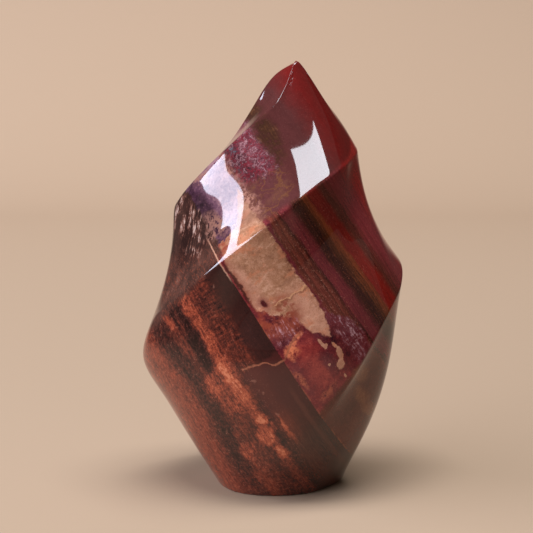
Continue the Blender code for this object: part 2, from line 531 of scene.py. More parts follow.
# The lower and the upper edge of the pale patch, by the place along the grain
PALE_LOW = (
    (-112.0, 48.0), (-102.0, 47.5), (-98.0, 47.4), (-94.5, 45.6), (-92.0, 43.6), (-90.0, 42.6), (-88.0, 41.0),
    (-86.5, 37.0), (-85.0, 32.0), (-78.0, 30.4), (-70.0, 30.0), (-60.5, 30.6), (-58.0, 33.0), (-55.0, 37.0),
    (-52.0, 40.2), (-49.0, 41.6), (-44.0, 42.4), (-42.6, 44.4), (-40.0, 46.0), (-39.0, 47.4),
)
PALE_HIGH = (
    (-112.0, 40.0), (-104.0, 45.0), (-96.0, 47.6), (-82.0, 49.4), (-66.0, 49.2), (-56.0, 49.8), (-48.0, 49.6),
    (-43.0, 48.0), (-39.0, 46.6),
)
PALE_ISLANDS = (
    ((-39.4, 43.2), (2.2, 0.62), 10.0), ((-38.0, 43.8), (1.0, 0.5), -30.0), ((-36.4, 46.4), (1.6, 0.5), 10.0),
    ((-33.0, 46.4), (2.6, 0.95), -14.0), ((-29.8, 44.7), (1.9, 1.35), -35.0),
    ((-25.4, 43.9), (0.9, 0.3), 0.0), ((-32.0, 41.4), (0.5, 0.5), 0.0),
)

CRIMSON_COLOURS = ((0.0, GRAPE), (0.5, CRIMSON), (1.0, CORAL))
CRIMSON_GLOW = (((-40.5, 38.5), (4.5, 3.4), 0.0), ((-31.0, 37.0), (4.0, 3.0), 0.0))
CRIMSON_GLOOM = (
    ((-50.0, 34.5), (4.6, 5.2), 0.0), ((-40.0, 44.6), (5.0, 2.4), 20.0), ((-33.0, 42.0), (4.0, 2.0), 0.0),
)
CRIMSON_SCORCH = (((-55.5, 34.5), (5.0, 4.6), -35.0), ((-50.5, 38.4), (2.4, 2.4), 0.0))
CRIMSON_FROST = (
    ((-49.5, 35.5), (3.4, 5.5), 0.0, 0.6, 0.8), ((-39.5, 53.4), (8.5, 3.2), 4.0, 0.6, 1.0),
    ((-30.0, 52.0), (3.0, 1.6), 0.0, 0.6, 1.0), ((-50.0, 52.0), (4.0, 1.6), 0.0, 0.6, 0.7),
)
CRIMSON_FLARES = (
    ((-42.8, 33.4), (2.0, 2.0), 30.0, 0.6, 1.0), ((-45.4, 36.2), (0.9, 3.0), 25.0, 0.6, 0.85),
    ((-33.0, 31.0), (3.0, 0.8), 0.0, 0.8, 0.5), ((-24.0, 36.0), (1.0, 3.0), 20.0, 0.8, 0.3),
)

BROWN_COLOURS = (
    (0.0, seen(60, 26, 19)), (0.4, seen(92, 40, 28)), (0.7, seen(110, 52, 36)), (1.0, seen(142, 80, 52)),
)
OCHRE_SPOTS = (
    ((-6.5, 43.6), (3.6, 1.6), 10.0), ((-14.0, 44.0), (3.2, 1.6), 0.0), ((-22.5, 48.0), (3.0, 2.2), 0.0),
)

SHOULDER_COLOURS = (
    (0.0, seen(40, 24, 22)), (0.3, seen(62, 38, 32)), (0.5, seen(92, 56, 46)), (0.72, seen(138, 98, 84)),
    (1.0, seen(186, 158, 144)),
)
VIOLET_COLOURS = (
    (0.0, seen(38, 22, 28)), (0.35, seen(70, 42, 54)), (0.65, seen(106, 70, 84)), (1.0, seen(160, 118, 120)),
)
FLECK_TURN = np.radians(42.0)
FLECK_ZONE = (
    ((-101.5, 25.5), (5.0, 4.0), 30.0), ((-95.0, 29.0), (4.6, 3.8), -30.0),
    ((-91.5, 26.5), (3.2, 3.8), -30.0), ((-98.0, 24.0), (2.4, 4.4), -30.0),
    ((-87.0, 22.5), (1.6, 2.4), -30.0),
)
SHOULDER_TAN = (
    ((-91.4, 34.6), (3.6, 2.6), 20.0), ((-89.0, 31.6), (1.6, 2.2), 20.0), ((-108.5, 38.0), (3.4, 3.4), 0.0),
)

CROWN_BANDS = (
    (46.0, MUSHROOM), (52.0, DUSK), (58.0, DUSK), (66.0, MULBERRY), (76.0, MULBERRY), (84.0, RUBY),
    (90.0, RUBY),
)
MAUVE_COLOURS = (
    (0.0, seen(48, 24, 30)), (0.35, seen(82, 42, 48)), (0.6, seen(112, 62, 70)), (0.8, seen(132, 82, 88)),
    (1.0, seen(172, 130, 130)),
)
OLIVE_COLOURS = ((0.0, seen(38, 22, 15)), (0.5, seen(68, 39, 25)), (1.0, seen(116, 74, 44)))
MAUVE_CLOUDS = (
    ((-108.0, 59.5), (8.5, 3.4), -6.0, 0.6, 1.0), ((-100.5, 60.8), (3.8, 3.4), 0.0, 0.6, 1.0),
    ((-111.0, 58.0), (2.4, 1.8), 0.0, 0.7, 1.0),
)
CROWN_DARK = (((-109.5, 52.6), (3.2, 1.6), 8.0), ((-103.8, 51.6), (2.2, 1.2), 0.0))
CROWN_OLIVE = (((-107.0, 66.2), (7.5, 3.0), -4.0), ((-99.5, 63.6), (3.6, 2.2), -20.0))

# The straight fault along the grain and two thin lines beside it, by their places across it
FAULT = 29.3
FAULT_SOFT = 0.12
PALE_LINE = 29.1
RUST_LINE = 29.5
BLOOD_LINE = ((-72.0, 30.1), (8.0, 0.7), 1.0)
PITS = (((-109.5, 52.4), (3.0, 1.4), 8.0), ((-104.0, 51.6), (2.4, 1.0), 0.0))

# The crack's points are places across the grain and along it
CRACK = (
    (15.5, -46.6), (20.0, -45.8), (23.5, -44.8), (26.2, -42.4), (30.0, -42.0), (32.0, -43.4), (35.0, -45.6),
    (39.0, -46.6),
)
CRACK_WIDTH = 0.5


class Grain:
    """The pattern's frame on the stone, with the shared noises that roughen every edge."""

    def __init__(self, nodes):
        place = nodes.add("ShaderNodeTexCoord", {}, {}, "Object")
        place = nodes.vector("MULTIPLY", place, (1 / MM,) * 3)
        depth = nodes.vector("DOT_PRODUCT", place, DEPTH, output=1)
        behind = nodes.rise(depth, DRIFT_FROM, DRIFT_TO)
        self.nodes = nodes
        self.place = place
        self.front = nodes.rise(depth, -4.0, -12.0)
        self.straight = nodes.vector("DOT_PRODUCT", place, ACROSS, output=1) + behind * DRIFT_ACROSS
        self.length = nodes.vector("DOT_PRODUCT", place, ALONG, output=1) + behind * DRIFT_ALONG
        elsewhere = nodes.vector("ADD", place, (31.0, 17.0, 5.0))
        sway = nodes.swing(place, (26.0,) * 3, 1.0)
        self.ragged = nodes.swing(place, (3.2,) * 3, 5.0, 0.68)
        other = nodes.swing(elsewhere, (3.2,) * 3, 5.0, 0.68)
        self.along = self.length + self.ragged * 4.2
        self.across = self.straight + other * 3.4 + sway * 2.0
        self.flat = nodes.point(self.along, self.across)
        self.near = nodes.point(self.length + self.ragged * 2.0, self.straight + other * 1.8)
        self.frame = nodes.point(self.length, self.straight, depth)
        self.strands = nodes.point(self.length, self.straight + sway * 3.0 + self.ragged * 0.9, depth)
        self.fibre = nodes.swing(self.strands, (6.5, 0.62, 3.0), 5.0, 0.66)
        self.thread = nodes.swing(self.frame, (2.2, 0.22, 1.6), 2.0, 0.6)
        self.lines = nodes.swing(self.strands, (42.0, 0.7, 9.0), 5.0, 0.72)
        self.cloud = nodes.swing(place, (9.0,) * 3, 4.0, 0.6)
        self.mottle = nodes.swing(place, (2.1,) * 3, 5.0, 0.7)
        self.curdle = nodes.swing(elsewhere, (1.1,) * 3, 4.0, 0.7)
        self.speckle = nodes.swing(place, (0.42,) * 3, 2.0, 0.6)


def wood(grain):
    """Brown wood, with dark bands, orange streaks and fine fibres."""
    nodes = grain.nodes
    along, across, flat = grain.along, grain.across, grain.flat
    drift = nodes.follow(grain.length, WOOD_DRIFT)
    level = nodes.follow(across - drift * nodes.rise(grain.straight, 9.0, 3.0), WOOD_LEVELS)
    past_band = nodes.rise(grain.length, -20.0, -6.0) * nodes.between(across, -7.0, 3.0, 2.0)
    wedge = nodes.blots(flat, DARK_WEDGE, 0.4)
    beyond = nodes.rise(along, -46.5, -44.5) * nodes.rise(across, 14.0, 16.0)
    flank = nodes.rise(along, -38.0, -26.0) * nodes.between(across, 1.0, 13.0, 2.5)
    flare = nodes.patches(flat, ORANGE_FLARES)
    blobs = nodes.blots(flat, ORANGE_BLOBS, 0.55)
    smooth = nodes.rise(across, 20.5, 23.5)
    smooth = nodes.larger(smooth, nodes.rise(across, 16.0, 18.0) * nodes.rise(along, -45.5, -43.5))
    cross = nodes.swing(grain.strands, (0.75, 5.0, 2.6), 4.0, 0.65)
    cross_zone = nodes.between(across, 14.8, 22.0, 1.4) * nodes.rise(along, -50.0, -58.0)
    level = level + past_band * 0.16 - wedge * 0.24 + beyond * 0.09 + flank * 0.04
    level = level + flare * 0.28 + blobs * 0.36 + cross * cross_zone * 0.85
    level = level - nodes.rise(along, -39.0, -33.0) * nodes.between(across, 9.0, 16.0, 1.6) * 0.2
    orange_run = nodes.between(across, 9.8, 13.6, 1.2) * nodes.rise(along, -36.0, -42.0)
    stir = grain.fibre * 0.75 + grain.mottle * 0.65 + grain.curdle * 0.65 + grain.speckle * 0.4
    lively = 1.0 + nodes.larger(flare, orange_run, blobs) * 0.6 - smooth * 0.8
    lively = lively - nodes.rise(across, -4.0, -8.0) * 0.2
    level = level + stir * lively
    dusty = nodes.rise(across, 9.0, 2.0) * nodes.rise(grain.curdle + grain.thread * 0.6, 0.05, 0.22) * 0.24
    redder = beyond * nodes.rise(along, -22.0, -30.0) * 0.75
    green = nodes.rise(along, -24.0, -12.0) * nodes.rise(across, 12.0, 18.0) * 0.7
    greens = nodes.mix(nodes.rise(grain.fibre, -0.1, 0.16), seen(52, 28, 22), seen(76, 44, 32))
    off_seam = nodes.math("ABSOLUTE", grain.straight + grain.ragged * 1.4 - 26.0)
    seam = nodes.rise(off_seam, 1.3, 0.2) * nodes.rise(along, -36.0, -28.0)
    ash = nodes.blots(flat, ASH_SPOTS, 0.7)
    return nodes.paint(
        nodes.bands(level, WOOD_COLOURS), (dusty, seen(120, 86, 66)), (redder, seen(76, 34, 31)),
        (green, greens), (seam * 0.3, seen(112, 62, 48)), (ash * 0.5, seen(150, 98, 80)))


def stripes(grain):
    """Thin stripes in plum, near black, amber and red that run along the grain."""
    nodes = grain.nodes
    lay = grain.straight - (grain.length - STRIPE_LEVEL_AT) * STRIPE_SLOPE
    hair = nodes.swing(grain.strands, (16.0, 0.34, 4.0), 4.0, 0.7)
    lay = lay + grain.cloud * 2.4 + grain.lines * 4.2 + grain.mottle * 1.1 + hair * 2.4
    late = nodes.rise(grain.length, -62.0, -42.0)
    redder = nodes.between(lay, 66.0, 71.0, 1.0) * late
    amber = nodes.rise(grain.lines, 0.10, 0.2) * nodes.between(lay, 62.0, 67.4, 1.0) * (0.35 + late * 0.65)
    gold = nodes.rise(grain.lines + grain.thread * 0.3, 0.1, 0.2) * nodes.between(lay, 52.6, 54.8, 0.5)
    dusk = nodes.rise(grain.lines, -0.08, -0.2) * nodes.between(lay, 51.0, 74.0, 2.0)
    crumbs = nodes.rise(grain.curdle + grain.mottle * 0.5 + grain.speckle * 0.5, 0.06, 0.24)
    crumbs = crumbs * nodes.between(lay, 49.0, 55.0, 1.4)
    bright_hair = nodes.rise(hair + grain.speckle * 0.5, 0.08, 0.24) * nodes.between(lay, 49.0, 68.0, 2.0)
    dark_hair = nodes.rise(hair + grain.curdle * 0.5, -0.1, -0.26)
    rose = nodes.rise(grain.curdle, 0.06, 0.2) * nodes.between(lay, 51.0, 54.6, 1.0) * late
    threads = nodes.rise(grain.thread + grain.fibre * 0.6, 0.1, 0.26)
    colour = nodes.paint(
        nodes.bands(lay, STRIPE_BANDS), (redder * 0.6, seen(138, 30, 24)), (amber * 0.7, seen(138, 72, 36)),
        (gold * (1 - late * 0.6) * 0.75, seen(144, 82, 40)), (dusk * 0.75, seen(36, 16, 14)),
        (crumbs * 0.62, seen(160, 106, 86)), (bright_hair * 0.5, seen(150, 75, 46)),
        (dark_hair * 0.6, seen(44, 16, 16)), (rose * 0.6, seen(144, 75, 75)),
        (threads * 0.3, seen(148, 70, 50)))
    return nodes.darken(colour, 0.12 - grain.lines * 1.2 - grain.thread * 0.5 - grain.speckle * 0.6)


def pale_patch(grain):
    """The cream stretch: greenish tan with pinker ends, orange mottles and fine dark specks, a crack drawn
    with a painted shadow beside it, and painted shade where it reaches the upper face.
    """
    nodes = grain.nodes
    flat = grain.flat
    pink = nodes.patches(flat, PALE_PINK)
    level = 0.46 + pink * 0.2
    level = level + grain.cloud * 0.6 + grain.mottle * 0.8 + grain.curdle * 0.6 + grain.speckle * 0.5
    rim = nodes.rise(grain.across, 46.6, 49.6)
    level = level - rim * 0.2 + rim * nodes.rise(grain.curdle, 0.02, 0.16) * 0.4
    wisps = nodes.swing(grain.frame, (4.6, 9.0, 5.0), 4.0, 0.62)
    brush = nodes.swing(grain.flat, (1.8, 6.0, 4.0), 4.0, 0.6) + grain.curdle * 0.2
    rust = nodes.larger(nodes.patches(flat, PALE_RUST), nodes.rise(grain.straight, 33.4, 30.6) * 0.75)
    specks = nodes.rise(grain.curdle * 0.8 + grain.speckle * 1.1, 0.17, 0.27)
    path = grain.length + grain.ragged * 4.4 + grain.curdle * 0.8
    inside = nodes.rise(grain.straight, 36.0, 38.0)
    halo = nodes.blot(grain.near, RED_SPOT, (2.2, 1.6), RED_SPOT_TILT, 0.5)
    # Painted shade: the cream is darkened and greyed where it reaches the upper face, which the lights reach
    # more strongly
    upper = nodes.rise(grain.length, -84.5, -88.0)
    return nodes.paint(
        nodes.bands(level, PALE_COLOURS), (pink * 0.4, seen(180, 118, 96)),
        (nodes.rise(wisps + grain.curdle * 0.4, 0.02, 0.16) * 0.6, seen(198, 120, 84)),
        (nodes.rise(brush, 0.0, 0.24) * 0.45, seen(232, 182, 152)),
        (nodes.rise(brush + wisps * 0.8, -0.04, -0.3) * 0.45, seen(128, 84, 62)),
        (rust * nodes.rise(grain.mottle + grain.cloud, -0.2, 0.1), seen(136, 64, 46)),
        # The crack in the cream is two thin lines on one path: the darker one at -58.0 is a painted shadow
        # beside the crack, the paler one at -58.6 is the crack's own colour
        (specks * 0.7, seen(104, 56, 42)), (nodes.thin(path, -58.0, 0.5) * inside * 0.7, seen(124, 76, 52)),
        (nodes.thin(path, -58.6, 0.4) * inside * 0.8, seen(210, 156, 112)),
        # painted shade: the upper term darkens the cream on the upper face
        (halo * 0.6, seen(128, 60, 50)), (upper * 0.45, seen(122, 84, 74)),
        (nodes.blot(grain.near, RED_SPOT, (1.4, 0.85), RED_SPOT_TILT, 0.4), seen(74, 22, 24)))


def pale_patch_mask(grain):
    """Where the cream stretch and its small islands are."""
    nodes = grain.nodes
    low = nodes.follow(grain.along, PALE_LOW)
    high = nodes.follow(grain.along, PALE_HIGH)
    even = nodes.between(grain.length, -84.0, -62.0, 2.0) * 0.8
    calm = grain.across - (grain.across - grain.straight) * even
    calm = calm + grain.curdle * nodes.between(grain.length, -60.0, -48.0, 3.0) * 5.0
    body = (nodes.rise(calm - low, -0.5, 0.5) * nodes.rise(high - grain.across, -0.3, 0.3)
            * nodes.rise(grain.along, -39.0, -39.8))
    return nodes.larger(body, nodes.blots(grain.near, PALE_ISLANDS, 0.14))


def crimson(grain):
    """Mottled crimson between the cream and the lower ridge, with purple and orange in it."""
    nodes = grain.nodes
    flat = grain.flat
    glow = nodes.blots(flat, CRIMSON_GLOW, 0.8)
    gloom = nodes.blots(flat, CRIMSON_GLOOM, 0.7)
    dusky = nodes.rise(grain.across, 45.5, 48.0)
    level = 0.46 + glow * 0.22 - gloom * 0.22 - dusky * 0.12
    level = level + grain.cloud * 0.7 + grain.mottle * 0.8 + grain.curdle * 0.5 + grain.speckle * 0.4
    purple = nodes.larger(gloom * 0.7, dusky, nodes.blot(flat, (-37.0, 31.0), (8.0, 1.6), 0.0, 0.7))
    purple = purple * nodes.rise(grain.cloud + grain.curdle * 0.6, -0.12, 0.14)
    frost_zone = nodes.patches(flat, CRIMSON_FROST)
    scorch = nodes.blots(flat, CRIMSON_SCORCH, 0.9) * nodes.rise(grain.mottle + grain.cloud, -0.3, 0.1)
    haze = nodes.rise(grain.cloud + grain.mottle * 0.5, -0.2, 0.2) * frost_zone
    frost = nodes.rise(grain.curdle * 0.5 + grain.mottle * 0.9 + grain.fibre * 0.9, -0.02, 0.3) * frost_zone
    flare = nodes.patches(flat, CRIMSON_FLARES) * nodes.rise(grain.mottle + grain.curdle * 0.7, -0.16, 0.12)
    ember = nodes.rise(grain.curdle + grain.mottle * 0.5 + grain.speckle * 0.4, 0.14, 0.3) * 0.4
    specks = nodes.rise(grain.curdle + grain.speckle * 0.6, -0.12, -0.3)
    return nodes.paint(
        nodes.bands(level, CRIMSON_COLOURS), (purple * 0.75, seen(104, 48, 56)), (scorch, seen(146, 66, 44)),
        (haze * 0.3, seen(120, 62, 66)), (frost * 0.85, seen(210, 166, 172)), (flare, seen(226, 128, 88)),
        (ember, seen(166, 88, 68)), (specks * 0.6, seen(58, 20, 26)))


def lower_brown(grain):
    """Plain brown stone past the lower ridge, with a few ochre spots. Its brown, darker than the crimson
    before the ridge, is partly the stone's own colour and partly painted shade of the face that turns
    downward.
    """
    nodes = grain.nodes
    level = 0.4 + grain.cloud * 0.7 + grain.fibre * 0.35 + grain.mottle * 0.4 + grain.speckle * 0.25
    spots = nodes.blots(grain.flat, OCHRE_SPOTS, 0.8) * (0.55 + grain.curdle * 1.5)
    return nodes.mix(spots, nodes.bands(level, BROWN_COLOURS), seen(142, 88, 54))


def shoulder(grain):
    """The upper left: dark brown with pale flecks, then violet with a torn edge."""
    nodes = grain.nodes
    slanted = nodes.add("ShaderNodeMapping", {"vector_type": "POINT"},
                        {"Vector": grain.strands, "Rotation": (0.0, 0.0, FLECK_TURN)})
    flecks = nodes.swing(slanted, (5.5, 0.85, 2.6), 4.0, 0.64)
    level = 0.22 + grain.cloud * 0.8 + flecks * 0.5 + grain.speckle * 0.3
    level = level + nodes.rise(grain.along, -90.0, -80.0) * 0.16
    zone = nodes.blots(grain.flat, FLECK_ZONE, 0.8)
    level = level + zone * nodes.rise(flecks + grain.curdle * 0.3, -0.04, 0.2) * 0.8
    fibres = nodes.rise(grain.fibre + grain.thread * 0.5, 0.0, 0.2) * nodes.rise(grain.along, -89.0, -82.0)
    torn = nodes.rise(grain.across + grain.ragged * 3.0, 31.6, 32.6)
    violet = 0.35 + grain.cloud * 1.1 + grain.mottle * 1.0 + grain.curdle * 0.6
    violet = violet + nodes.rise(grain.across, 34.0, 39.0) * 0.4
    tan = nodes.blots(grain.flat, SHOULDER_TAN, 0.6)
    tan = tan * nodes.rise(grain.mottle + grain.curdle * 0.5, -0.1, 0.04)
    return nodes.paint(
        nodes.bands(level, SHOULDER_COLOURS), (fibres * 0.6, seen(132, 66, 46)),
        (torn, nodes.bands(violet, VIOLET_COLOURS)), (tan, seen(142, 98, 84)))


def crown(grain):
    """The upper face: mauve and violet, an olive patch, yellow veins and a red tip."""
    nodes = grain.nodes
    flat = grain.flat
    cream = nodes.rise(grain.across + grain.cloud * 10.0, 52.5, 49.5) * nodes.rise(grain.along, -84.0, -92.0)
    cream = cream * nodes.rise(grain.mottle + grain.curdle * 0.8, -0.1, 0.08)
    level = 0.33 + nodes.patches(flat, MAUVE_CLOUDS) * 0.26
    level = level + grain.mottle * 1.2 + grain.curdle * 1.3 + grain.speckle * 0.7
    left = nodes.rise(grain.along + grain.cloud * 8.0, -93.0, -99.0)
    left = left * nodes.between(grain.across, 49.0, 63.0, 2.2)
    veins = nodes.thin(grain.ragged, 0.02, 0.045) * left
    pale = nodes.thin(grain.ragged + grain.curdle * 0.3, -0.09, 0.03) * left
    dark = nodes.blots(flat, CROWN_DARK, 0.7) * nodes.rise(grain.curdle + grain.mottle * 0.5, -0.02, 0.12)
    olive = nodes.blots(flat, CROWN_OLIVE, 0.7) * nodes.rise(grain.cloud + grain.mottle * 0.7, -0.2, 0.04)
    olives = nodes.bands(0.4 + grain.mottle * 0.9 + grain.fibre * 0.9 + grain.cloud * 1.2, OLIVE_COLOURS)
    veil = nodes.between(grain.along, -96.5, -83.0, 2.5) * nodes.between(grain.across, 50.0, 64.0, 2.0)
    loops = nodes.swing(nodes.vector("ADD", grain.place, (3.0, 0.0, 9.0)), (8.0,) * 3, 2.0, 0.5)
    yellow = nodes.larger(nodes.thin(loops + grain.curdle * 0.16, 0.0, 0.03),
                          nodes.thin(loops + grain.curdle * 0.2, 0.1, 0.02) * 0.7)
    colour = nodes.paint(
        nodes.bands(grain.across + grain.cloud * 6.0, CROWN_BANDS), (cream, seen(172, 120, 102)),
        (left * 0.9, nodes.bands(level, MAUVE_COLOURS)), (veins * 0.65, seen(130, 30, 42)),
        (pale * 0.6, seen(190, 140, 142)), (dark * 0.85, seen(46, 34, 46)), (olive * 0.95, olives),
        (veil * yellow * 0.5, seen(124, 78, 42)),
        (veil * nodes.rise(grain.cloud, 0.0, 0.16) * 0.4, seen(112, 70, 52)))
    return nodes.darken(colour, 0.1 - grain.mottle * 0.5 - grain.lines * 0.4 - grain.speckle * 0.4)


def crack_line(grain, points, width):
    """1 on a thin crack through points, each a place across the grain and one along it."""
    nodes = grain.nodes
    path = nodes.follow(grain.straight, points)
    near = nodes.math("ABSOLUTE", grain.length + grain.ragged * 2.0 - path)
    inside = nodes.between(grain.straight, points[0][0] + 0.3, points[-1][0] - 0.3, 0.3)
    return nodes.rise(near, width, width * 0.3) * inside * grain.front


def pattern(grain):
    """All the zones of the stone together: the colour, and where its pits and cracks are."""
    nodes = grain.nodes
    across, along, cloud = grain.across, grain.along, grain.cloud
    past_fault = nodes.rise(grain.straight + grain.curdle * 0.5, FAULT - FAULT_SOFT, FAULT + FAULT_SOFT)
    # Past the lower ridge the crimson gives way to darker brown: partly the stone's own colour, partly
    # painted shade of the face that turns down and away from the lights
    past_ridge = nodes.rise(along + (across - 36.0) * 0.25, -22.5, -20.5)
    on_shoulder = nodes.rise(along + (across - 30.0) * 0.3, -80.5, -83.0)
    striped = nodes.rise(across + cloud * 3.0, STRIPES_FROM - STRIPES_SOFT, STRIPES_FROM + STRIPES_SOFT)
    striped = striped * nodes.rise(across + cloud * 6.0 - nodes.rise(along, -48.0, -40.0) * 6.5, 49.6, 50.6)
    crowned = nodes.rise(across + cloud * 4.0, 47.6, 48.4)
    crowned = crowned * nodes.rise(grain.length + grain.ragged * 1.0, -84.0, -86.0)
    pale_line = nodes.thin(grain.straight + grain.curdle * 0.8, PALE_LINE, 0.42)
    pale_line = pale_line * nodes.between(grain.length, -87.5, -74.0, 2.0) * grain.front
    rust_line = nodes.thin(grain.straight + grain.ragged * 0.8, RUST_LINE, 0.4)
    rust_line = rust_line * nodes.rise(grain.mottle + cloud, -0.05, 0.1)
    rust_line = rust_line * nodes.rise(grain.length, -68.0, -60.0)
    crack = crack_line(grain, CRACK, CRACK_WIDTH)
    pits = nodes.blots(grain.flat, PITS, 0.5) * nodes.rise(grain.curdle + grain.mottle, 0.02, 0.16)
    pits = pits * grain.front
    clear = 1 - nodes.larger(nodes.between(across, 20.0, 29.0, 1.0), crowned * 0.75) * 0.85
    glints = nodes.rise(grain.speckle + grain.curdle * 0.5, 0.12, 0.28) * clear
    dots = nodes.rise(grain.speckle - grain.curdle * 0.4, -0.12, -0.28) * clear
    mineral = nodes.mix(past_ridge, crimson(grain), lower_brown(grain))
    colour = nodes.paint(
        wood(grain), (past_fault, mineral), (on_shoulder, shoulder(grain)),
        (pale_patch_mask(grain), pale_patch(grain)), (striped, stripes(grain)), (crowned, crown(grain)),
        (pale_line * 0.8, seen(206, 150, 122)),
        (nodes.blot(grain.flat, *BLOOD_LINE, 0.4) * 0.9, seen(62, 20, 19)),
        (rust_line * 0.45, seen(160, 92, 58)),
        (crack * (0.75 + grain.curdle * 1.6 + grain.speckle * 0.8), seen(158, 94, 68)),
        (pits * 0.85, seen(40, 34, 40)), (glints * 0.2, seen(206, 150, 128)), (dots * 0.3, seen(30, 14, 12)))
    return colour, pits + crack * 0.25


# Pits and mottles are rougher than the polish, which waves faintly over some millimetres
PIT_ROUGHNESS = 0.35
MOTTLE_ROUGHNESS = 0.04
WAVE_SIZE = 11.0
WAVE_HEIGHT = 0.03
WAVE_STRENGTH = 0.6


def polished_stone(look):
    """The material of the stone: its solid pattern under a high polish."""
    material = bpy.data.materials.new("polished_petrified_wood")
    material.use_nodes = True
    tree = material.node_tree
    shader = tree.nodes["Principled BSDF"]
    nodes = Nodes(tree)
    grain = Grain(nodes)
    colour, hollow = pattern(grain)
    shader.inputs["IOR"].default_value = look.refraction
    shader.inputs["Metallic"].default_value = 0.0
    nodes.feed(shader.inputs["Base Color"], colour)
    roughness = look.polish + hollow * PIT_ROUGHNESS + grain.mottle * MOTTLE_ROUGHNESS
    nodes.feed(shader.inputs["Roughness"], roughness)
    relief = nodes.swing(grain.place, (WAVE_SIZE,) * 3, 1.0) * WAVE_HEIGHT
    bump = nodes.add("ShaderNodeBump", {}, {"Strength": WAVE_STRENGTH, "Distance": MM, "Height": relief})
    nodes.feed(shader.inputs["Normal"], bump)
    return material


class StoneLook(bpy.types.PropertyGroup):
    """Sizes and finish of the stone."""

    levels: IntProperty(
        name="Subdivisions", description="How often each face of the cage is halved", default=4, min=2, max=4)
    ridge_rounding: FloatProperty(
        name="Ridge rounding", description="Width of the rounding along the ridges",
        default=0.4 * MM, unit="LENGTH")
    rim_rounding: FloatProperty(
        name="Rim rounding", description="Width of the rounding round the foot",
        default=0.6 * MM, unit="LENGTH")
    polish: FloatProperty(
        name="Roughness", description="Roughness of the polished surface", default=0.045, subtype="FACTOR")
    refraction: FloatProperty(
        name="Refraction", description="Index of refraction of the stone", default=1.54, min=1.0, max=3.0)


class StageLook(bpy.types.PropertyGroup):
    """Floor, light and camera."""

    floor_half: FloatProperty(
        name="Floor size", description="From the middle to the floor's sides", default=4.0, unit="LENGTH")
    sweep_start: FloatProperty(
        name="Sweep start", description="From the middle to where the floor curves up behind",
        default=0.75, unit="LENGTH")
    sweep_radius: FloatProperty(
        name="Sweep radius", description="Radius of the curve behind", default=0.35, unit="LENGTH")
    sweep_height: FloatProperty(
        name="Sweep height", description="Height of the wall behind", default=1.2, unit="LENGTH")
    floor_colour: FloatVectorProperty(
        name="Floor", description="Colour of the pale floor", default=(0.39, 0.278, 0.19), subtype="COLOR")
    wall_colour: FloatVectorProperty(
        name="Wall", description="Colour of the floor where it has curved up", default=(0.48, 0.34, 0.232),
        subtype="COLOR")
    far_colour: FloatVectorProperty(
        name="Far floor", description="Colour of the floor away from the stone", default=(0.05, 0.038, 0.027),
        subtype="COLOR")
    room_colour: FloatVectorProperty(
        name="Room", description="Colour of the surroundings", default=(1.0, 0.86, 0.75), subtype="COLOR")
    room_strength: FloatProperty(
        name="Room light", description="Brightness of the surroundings", default=0.12)
    ceiling_power: FloatProperty(
        name="Ceiling light", description="Power of the light above", default=37.0, unit="POWER")
    window_power: FloatProperty(
        name="Window light", description="Power of the light on the left", default=50.0, unit="POWER")
    lens: FloatProperty(
        name="Lens", description="Focal length of the camera", default=114.2, unit="CAMERA")
    elevation: FloatProperty(
        name="Elevation", description="Height of the camera above the level", default=np.radians(9.0),
        subtype="ANGLE")
    distance: FloatProperty(
        name="Distance", description="From the camera to the middle of the stone", default=0.6, unit="LENGTH")


class FLAME_OT_stone(bpy.types.Operator):
    """Make the polished stone in place of the plain solid"""

    bl_idname = "flame.stone"
    bl_label = "Polished stone"

    def execute(self, context):
        look = context.scene.flame_stone
        stone = build_cage(stone_points())
        context.scene.collection.objects.link(stone)
        smoothing = stone.modifiers.new("smooth_faces", "SUBSURF")
        smoothing.levels = CAD_SUBDIVISIONS
        settle(stone)
        stone.data = finished_mesh(stone, look.levels, look.ridge_rounding, look.rim_rounding)
        stone.modifiers.clear()
        stone.data.materials.append(polished_stone(look))
        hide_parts(NODE)
        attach(stone, "root")
        return {"FINISHED"}


AIM = (-2.45 * MM, 0.0, 77.8 * MM)
LIGHT_AIM = (0.0, 0.0, 90.0 * MM)

# Each light has an azimuth from the front towards the right, an elevation, a distance, its two
# sides and a turn about its own middle, in degrees and metres
CEILING_LIGHT = (39.0, 84.2, 1.6, (1.316, 0.627), -21.8)
WINDOW_LIGHT = (-68.4, 22.5, 1.6, (2.79, 0.484), -12.4)
CEILING_TINT = (0.88, 0.93, 1.0)
WINDOW_TINT = (0.78, 0.83, 1.0)

# The floor's colour changes over these stretches from the middle of the stone, in metres: to the
# wall's behind, and to the far floor's aside and in front. The aside one widens towards the back
WALL_FADE = (0.1, 1.0)
ASIDE_FADE = (0.1, 0.4)
FRONT_FADE = (-0.07, -0.5)
WIDENING = 0.17
SWEEP_STEPS = 16

# How much brighter the camera sees the surroundings
ROOM_SEEN = 0.4

# The camera sees nothing nearer than this, in metres
NEAR_CLIP = 0.05


def direction(azimuth, elevation):
    """The direction towards an azimuth, from the front towards the right side, and an elevation."""
    level = np.cos(elevation)
    return Vector((np.sin(azimuth) * level, -np.cos(azimuth) * level, np.sin(elevation)))


def add_light(name, spot, power, tint):
    """A rectangular light that faces the stone."""
    azimuth, elevation, distance, sides, turn = spot
    lamp = bpy.data.lights.new(name, "AREA")
    lamp.shape = "RECTANGLE"
    lamp.size, lamp.size_y = sides
    lamp.energy = power
    lamp.color = tint
    towards = direction(np.radians(azimuth), np.radians(elevation))
    light = bpy.data.objects.new(name, lamp)
    light.location = Vector(LIGHT_AIM) + towards * distance
    facing = towards.to_track_quat("Z", "Y").to_matrix()
    light.rotation_euler = (facing @ Matrix.Rotation(np.radians(turn), 3, "Z")).to_euler()
    bpy.context.scene.collection.objects.link(light)


